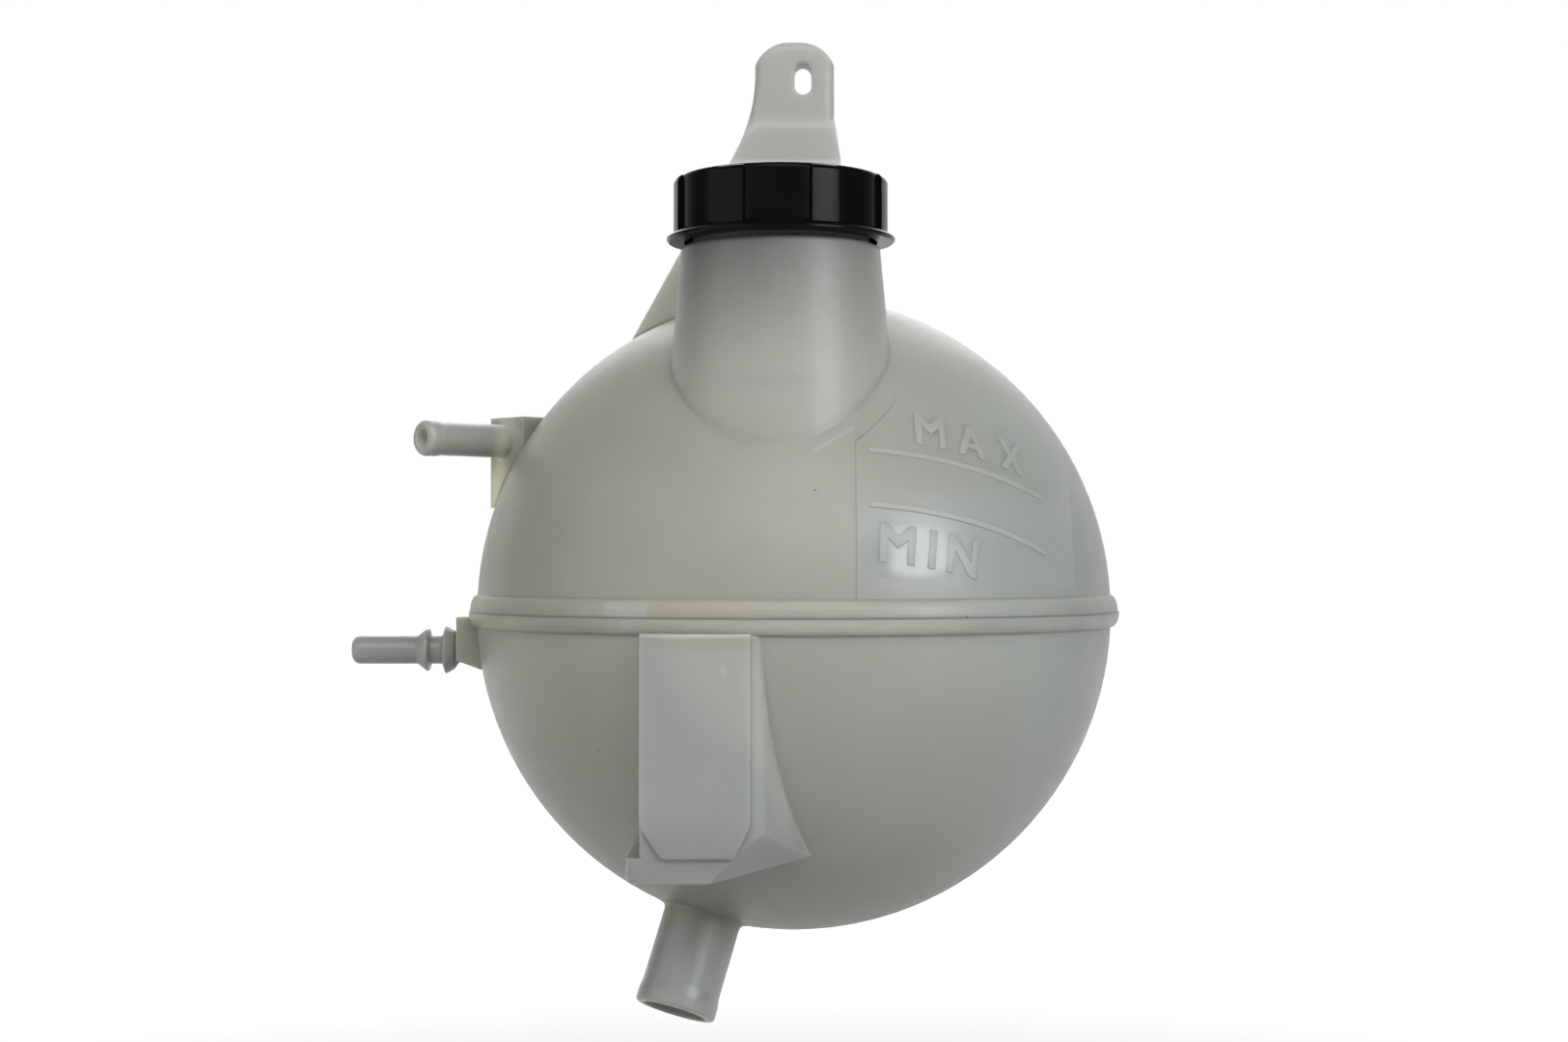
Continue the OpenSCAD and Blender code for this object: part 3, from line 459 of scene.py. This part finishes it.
def edge_radius(tree, x, y, z, distance):
    """Socket with how round the edges look, in metres: small at the window, large at the foot of the neck."""
    around = product(tree, band(tree, x, 10, 75, 2), ramp(tree, y, -18, -22))
    window_side = product(tree, around, band(tree, z, 6, 56, 2))
    near_foot = product(
        tree,
        band(tree, distance, 81.5, 92.5, 4),
        ramp(tree, y, NECK_BACK, NECK_BACK - 6),
        ramp(tree, z, 24, 30),
        ramp(tree, z, 70, 64),
        ramp(tree, x, 6, 0),
    )
    edge = share(tree, window_side, EDGE_R * MM, WINDOW_EDGE_R * MM)
    edge = share(tree, near_foot, edge, FOOT_EDGE_R * MM)
    return share(tree, ramp(tree, z, LUG_HEAD - 8, LUG_HEAD), edge, LUG_EDGE_R * MM)


def tank_plastic(name, lettering=False):
    """Milky polypropylene: grained and satin, smooth on the level window, with painted shade that makes it darker
    and yellower at the left.

    The thin raised letters have the same colour without light inside them, and their faces aren't smooth.
    """
    made, tree, output = new_material(name)
    metres, place = rest_place(tree)
    x, y, z = node(tree, "SeparateXYZ", {0: place}).outputs
    distance = node(tree, "VectorMath", {0: place}, operation="LENGTH").outputs["Value"]
    level = node(tree, "VectorMath", {0: place, 1: level_frame()[0]}, operation="DOT_PRODUCT").outputs["Value"]
    window, lines = window_masks(tree, x, y, z, level)
    smooth = product(tree, window, 0.0 if lettering else 1.0)
    polished = spot(tree, place, seen_at(*POLISHED), (16, 16, 9), 0.5)

    # Fine moulding texture everywhere but on the window, a slow ripple of the wall, and waves on the window
    grain = product(tree, noise_of(tree, metres, 1500.0, 2.0, 0.6), share(tree, smooth, 1.0, 0.12))
    ripple = product(tree, noise_of(tree, metres, 30.0, 1.0, 0.5), 3.0)
    waves = product(tree, noise_of(tree, metres, 160.0, 1.0, 0.5), smooth, share(tree, polished, 2.2, 5.0))
    height = math_of(tree, "ADD", math_of(tree, "ADD", grain, ripple), waves)
    soft_edges = node(tree, "Bevel", {"Radius": edge_radius(tree, x, y, z, distance)}, samples=4).outputs[0]
    bump_inputs = {"Strength": 0.35, "Distance": 0.00012, "Height": height, "Normal": soft_edges}

    smears = noise_of(tree, metres, 120.0, 4.0, 0.6)
    rough = ramp(tree, smears, 0.2, 0.8, 0.36, 0.46)
    spigots = product(tree, ramp(tree, distance, 92, 98), ramp(tree, z, *SPIGOTS_TOP, 1, 0))
    rough = share(tree, spigots, rough, 0.3)
    rough = share(tree, smooth, rough, ramp(tree, smears, 0.3, 0.7, 0.28, 0.34))
    rough = share(tree, product(tree, smooth, polished), rough, 0.18)

    shader = node(
        tree,
        "BsdfPrincipled",
        {
            "Base Color": tank_tint(tree, metres, place, distance, window, lines),
            "Roughness": rough,
            "Normal": node(tree, "Bump", bump_inputs).outputs[0],
            "IOR": 1.49,
            "Specular IOR Level": 0.5,
            "Subsurface Weight": 0.0 if lettering else 0.7,
            "Subsurface Radius": (1.0, 1.0, 0.75),
            "Subsurface Scale": 0.008,
        },
    )
    tree.links.new(shader.outputs[0], output.inputs["Surface"])
    return made


def plain_material(name, colour, rough, grain=600.0, depth=0.00005, spread=0.08, metallic=0.0, level=0.5):
    """A moulded, rubber or metal finish: colour and roughness that vary a little, and a fine bump."""
    made, tree, output = new_material(name)
    metres, _ = rest_place(tree)
    clouds = noise_of(tree, metres, 70.0, 4.0, 0.6)
    tint = blend(tree, ramp(tree, clouds, 0.3, 0.7), colour, tuple(min(1.0, 1.25 * c) for c in colour))
    bump = node(
        tree,
        "Bump",
        {"Strength": 0.5, "Distance": depth, "Height": noise_of(tree, metres, grain, 3.0, 0.6)},
    ).outputs[0]
    shader = node(
        tree,
        "BsdfPrincipled",
        {
            "Base Color": tint,
            "Roughness": ramp(tree, clouds, 0.25, 0.75, rough, rough + spread),
            "Normal": bump,
            "Metallic": metallic,
            "Specular IOR Level": level,
        },
    )
    tree.links.new(shader.outputs[0], output.inputs["Surface"])
    return made


def dress(name, material):
    """Puts one material on a CAD node."""
    target = frame["nodes"][name]
    target.data.materials.clear()
    target.data.materials.append(material)


# Meshes


def new_piece(name, shape, material, body):
    """A piece from a bmesh, smooth-shaded by angle, riding on a body."""
    bmesh.ops.recalc_face_normals(shape, faces=shape.faces)
    mesh = bpy.data.meshes.new(name)
    shape.to_mesh(mesh)
    shape.free()
    mesh.materials.append(material)
    piece = bpy.data.objects.new(name, mesh)
    bpy.context.scene.collection.objects.link(piece)
    mesh.shade_smooth()
    mesh.set_sharp_from_angle(angle=math.radians(38))
    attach(piece, body)
    return piece


def letter_outlines(letter, w, h, t):
    """Closed outlines of a plain capital letter of width w, height h and stroke t, from its lower left."""
    m = w / 2
    if letter == "I":
        return [[(0, 0), (t, 0), (t, h), (0, h)]]
    if letter == "M":
        notch = 0.45 * h
        inner = notch + 1.25 * t
        return [
            [(0, 0), (t, 0), (t, h - 1.9 * t), (m, notch - 0.35 * t), (w - t, h - 1.9 * t), (w - t, 0)]
            + [(w, 0), (w, h), (w - 0.95 * t, h), (m, inner), (0.95 * t, h), (0, h)]
        ]
    if letter == "N":
        return [
            [(0, 0), (t, 0), (t, h - 1.9 * t), (w - t, 0), (w, 0), (w, h), (w - t, h)]
            + [(w - t, 1.9 * t), (t, h), (0, h)]
        ]
    if letter == "A":
        half = 0.55 * t
        slope = (m - half) / h
        bar = 0.26 * h
        side = 1.12 * t
        low = [(0, 0), (side, 0), (side + bar * slope, bar), (w - side - bar * slope, bar), (w - side, 0), (w, 0)]
        hole_low = bar + 0.85 * t
        hole = [
            (side + hole_low * slope, hole_low),
            (m, (m - side) / slope),
            (w - side - hole_low * slope, hole_low),
        ]
        return [low + [(m + half, h), (m - half, h)], hole]
    if letter == "X":
        side = 1.2 * t
        gap = 0.62 * t
        rise = 0.72 * t
        c = h / 2
        return [
            [(0, 0), (side, 0), (m, c - rise), (w - side, 0), (w, 0), (m + gap, c), (w, h)]
            + [(w - side, h), (m, c + rise), (side, h), (0, h), (m - gap, c)]
        ]
    raise ValueError(letter)


def flat_letter(letter, w, h, t):
    """bmesh of a letter as a plate with a rounded edge, lying in XY, its back at z 0."""
    curve = bpy.data.curves.new("letter", "CURVE")
    curve.dimensions = "2D"
    curve.fill_mode = "BOTH"
    curve.extrude = (WORD_RISE + WORD_SINK) / 2 - WORD_SOFT
    curve.bevel_depth = WORD_SOFT
    curve.bevel_resolution = 1
    curve.offset = -WORD_SOFT
    for outline in letter_outlines(letter, w, h, t):
        spline = curve.splines.new("POLY")
        spline.points.add(len(outline) - 1)
        for point, (px, py) in zip(spline.points, outline):
            point.co = (px, py, 0, 1)
        spline.use_cyclic_u = True
    holder = bpy.data.objects.new("letter", curve)
    mesh = bpy.data.meshes.new_from_object(holder)
    shape = bmesh.new()
    shape.from_mesh(mesh)
    bpy.data.objects.remove(holder)
    bpy.data.curves.remove(curve)
    bpy.data.meshes.remove(mesh)
    bmesh.ops.remove_doubles(shape, verts=shape.verts, dist=1e-4)
    return shape


def word_piece(name, letters, foot, material):
    """Raised word on the ball. Each letter is (capital, angle of its left side, angle of its right side)."""
    up, front, right = level_frame()
    whole = bmesh.new()
    for letter, first, last in letters:
        foot_angle = math.acos(foot / WINDOW_R)
        round_r = WINDOW_R * math.sin(foot_angle)
        width = math.radians(last - first) * round_r
        shape = flat_letter(letter, width, WORD_HEIGHT, WORD_STROKE)
        for v in shape.verts:
            turn = math.radians(first) + v.co.x / round_r
            down = foot_angle - v.co.y / WINDOW_R
            radius = WINDOW_R + v.co.z - (WORD_SINK - WORD_RISE) / 2
            direction = up * math.cos(down) + (front * math.cos(turn) + right * math.sin(turn)) * math.sin(down)
            v.co = at(*(direction * radius))
        mesh = bpy.data.meshes.new("part")
        shape.to_mesh(mesh)
        shape.free()
        whole.from_mesh(mesh)
        bpy.data.meshes.remove(mesh)
    return new_piece(name, whole, material, "tank")


def thread_piece(name, foot_r, crest_r, low, turns, material, body):
    """Screw thread on the neck axis: a ridge from foot_r to crest_r that rises and sinks away at its ends."""
    steps = int(turns * THREAD_STEPS)
    run_in = 0.12 * steps
    shape = bmesh.new()
    rings = []
    for i in range(steps + 1):
        turn = 2 * math.pi * turns * i / steps
        risen = min(1.0, i / run_in, (steps - i) / run_in)
        risen = risen * risen * (3 - 2 * risen)
        crest = foot_r + (crest_r - foot_r) * max(risen, 0.04)
        height = low + THREAD_PITCH * turn / (2 * math.pi)
        section = (
            (foot_r, height - THREAD_HALF_FOOT),
            (crest, height - THREAD_HALF_CREST),
            (crest, height + THREAD_HALF_CREST),
            (foot_r, height + THREAD_HALF_FOOT),
        )
        rings.append(
            [
                shape.verts.new(at(NECK_X + r * math.cos(turn), NECK_Y + r * math.sin(turn), z))
                for r, z in section
            ]
        )
    for a, b in zip(rings, rings[1:]):
        for j in range(4):
            k = (j + 1) % 4
            shape.faces.new((a[j], a[k], b[k], b[j]))
    shape.faces.new(rings[0])
    shape.faces.new(reversed(rings[-1]))
    return new_piece(name, shape, material, body)


def weld_line(material):
    """The line of melted plastic that the weld left between the two halves, on the step of the flange."""
    steps = 360
    sides = 6
    foot_r = FLANGE_R - FLANGE_STEP - 0.05
    shape = bmesh.new()
    rings = []
    for i in range(steps):
        turn = 2 * math.pi * i / steps
        where = Vector((math.cos(turn), math.sin(turn), 0.3)) * 9
        width = 0.22 + 0.06 * noise.noise(where)
        radius = foot_r + 0.04 * noise.noise(where * 2.3)
        height = 0.12 + 0.06 * noise.noise(where * 0.7)
        ring = []
        for j in range(sides):
            angle = 2 * math.pi * j / sides
            r = radius + width * math.cos(angle)
            z = height + 0.8 * width * math.sin(angle)
            ring.append(shape.verts.new(at(r * math.cos(turn), r * math.sin(turn), z)))
        rings.append(ring)
    for i in range(steps):
        a = rings[i]
        b = rings[(i + 1) % steps]
        for j in range(sides):
            k = (j + 1) % sides
            shape.faces.new((a[j], a[k], b[k], b[j]))
    return new_piece("weld_line", shape, material, "tank")


def live_spring(name, body, joint, travel, end):
    """A copy of a spring's CAD node that rides on a body in place of it; joint, travel and end are not used."""
    source = frame["nodes"][name]
    made = bpy.data.objects.new(name + "_coil", source.data.copy())
    bpy.context.scene.collection.objects.link(made)
    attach(made, body)
    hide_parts(name)
    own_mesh(made)


# The stage


def stage_material(name, lit, shown):
    """Pale floor that keeps shadows. Seen or mirrored, it is lighter, and white from a little way off."""
    made, tree, output = new_material(name)
    place = node(tree, "TexCoord").outputs["Object"]
    reach = node(tree, "VectorMath", {0: place}, operation="LENGTH").outputs["Value"]
    tone = blend(tree, noise_of(tree, place, 3.0), (lit, lit, lit), (0.98 * lit, 0.98 * lit, 0.98 * lit))
    plain = node(tree, "BsdfDiffuse", {"Color": tone}).outputs[0]
    strength = ramp(tree, reach, FLOOR_NEAR, FLOOR_FAR, shown, 1.0)
    glow = node(tree, "Emission", {"Strength": strength}).outputs[0]
    rays = node(tree, "LightPath").outputs
    seen = any_of(tree, rays["Is Camera Ray"], rays["Is Glossy Ray"], rays["Is Transmission Ray"])
    both = node(tree, "AddShader", {0: plain, 1: glow}).outputs[0]
    mixed = node(tree, "MixShader", {0: seen, 1: plain, 2: both}).outputs[0]
    tree.links.new(mixed, output.inputs["Surface"])
    return made


def floor():
    """Level floor under the part."""
    shape = bmesh.new()
    bmesh.ops.create_grid(shape, x_segments=1, y_segments=1, size=FLOOR_REACH)
    mesh = bpy.data.meshes.new("floor")
    shape.to_mesh(mesh)
    shape.free()
    mesh.materials.append(stage_material("floor_paint", 0.5, 0.5))
    made = bpy.data.objects.new("floor", mesh)
    bpy.context.scene.collection.objects.link(made)
    made.location = (0, 0, cad_box[0].z - FLOOR_DROP)


def world(light, strength):
    """Even light all round, and a white background behind the part, which gloss shows too."""
    made = bpy.data.worlds.new("studio")
    bpy.context.scene.world = made
    made.use_nodes = True
    tree = made.node_tree
    tree.nodes.clear()
    ambient = node(tree, "Background", {"Color": (*light, 1), "Strength": strength}).outputs[0]
    white = node(tree, "Background", {"Color": (1, 1, 1, 1), "Strength": 1.0}).outputs[0]
    direction = node(tree, "TexCoord").outputs["Generated"]
    behind = ramp(tree, node(tree, "SeparateXYZ", {0: direction}).outputs[1], 0.4, 0.8)
    rays = node(tree, "LightPath").outputs
    mirrored = product(tree, rays["Is Glossy Ray"], behind)
    seen = any_of(tree, rays["Is Camera Ray"], rays["Is Transmission Ray"], mirrored)
    mixed = node(tree, "MixShader", {0: seen, 1: ambient, 2: white}).outputs[0]
    output = tree.nodes.new("ShaderNodeOutputWorld")
    tree.links.new(mixed, output.inputs["Surface"])


def softbox(name, azimuth, elevation, distance, size, power, colour):
    """Area lamp that faces the ball from an azimuth (0 is the camera's side, 90 the right) and an elevation."""
    data = bpy.data.lights.new(name, "AREA")
    data.shape = "RECTANGLE"
    data.size, data.size_y = size
    data.energy = power
    data.color = colour
    lamp = bpy.data.objects.new(name, data)
    bpy.context.scene.collection.objects.link(lamp)
    a, e = math.radians(azimuth), math.radians(elevation)
    back = Vector((math.sin(a) * math.cos(e), -math.cos(a) * math.cos(e), math.sin(e)))
    lamp.location = BALL * MM + back * distance
    lamp.rotation_euler = back.to_track_quat("Z", "Y").to_euler()


def camera():
    """The photograph's camera."""
    data = bpy.data.cameras.new("photo_camera")
    data.sensor_width = SENSOR
    data.lens = SENSOR * FOCAL_PIXELS / PHOTO_WIDTH
    made = bpy.data.objects.new("photo_camera", data)
    bpy.context.scene.collection.objects.link(made)
    made.location = at(*CAMERA)
    made.rotation_euler = (math.pi / 2 + CAMERA_PITCH, 0, 0)
    bpy.context.scene.camera = made


camera()
bpy.context.scene.view_settings.view_transform = "Standard"
floor()
world((0.97, 0.98, 1.0), 0.12)
for lamp in LAMPS:
    softbox(*lamp)

tank_paint = tank_plastic("milky_plastic")
word_paint = tank_plastic("milky_plastic_words", lettering=True)
cap_paint = plain_material("black_plastic", (0.003, 0.003, 0.0036), 0.19, 900.0, 0.00002, 0.06, level=0.08)
housing_paint = plain_material("black_matt_plastic", (0.02, 0.02, 0.022), 0.5)
valve_paint = plain_material("natural_plastic", (0.5, 0.5, 0.46), 0.42)
rubber_paint = plain_material("black_rubber", (0.015, 0.015, 0.015), 0.6, 1200.0, 0.00006)
steel_paint = plain_material("spring_wire", (0.5, 0.5, 0.52), 0.24, 2500.0, 0.00002, 0.12, 1.0)
brass_paint = plain_material("plated_pin", (0.66, 0.58, 0.40), 0.22, 2500.0, 0.00002, 0.12, 1.0)

for name in ("tank_upper_shell", "tank_lower_shell"):
    dress(name, tank_paint)
dress("cap_shell", cap_paint)
for name in ("housing_cover", "valve_housing"):
    dress(name, housing_paint)
for name in ("pressure_plate", "vacuum_valve"):
    dress(name, valve_paint)
for name in ("neck_o_ring", "pressure_seal", "vacuum_seal"):
    dress(name, rubber_paint)
for name in ("pressure_spring", "vacuum_spring", "vacuum_keeper"):
    dress(name, steel_paint)
for name in ("level_sensor_pin_left", "level_sensor_pin_right"):
    dress(name, brass_paint)

for name, foot, letters in WORDS:
    word_piece(name, letters, foot, word_paint)
neck_foot = FINISH_R - THREAD_SINK
thread_piece(
    "neck_thread", neck_foot, NECK_CREST_R, THREAD_LOW, NECK_THREAD_TURNS, tank_paint, "tank"
)
cap_foot = CAP_BORE_R + THREAD_SINK
cap_low = THREAD_LOW - THREAD_PITCH / 2
thread_piece("cap_thread", cap_foot, CAP_CREST_R, cap_low, CAP_THREAD_TURNS, cap_paint, "cap")
weld_line(tank_paint)
for spring in SPRINGS:
    live_spring(*spring)
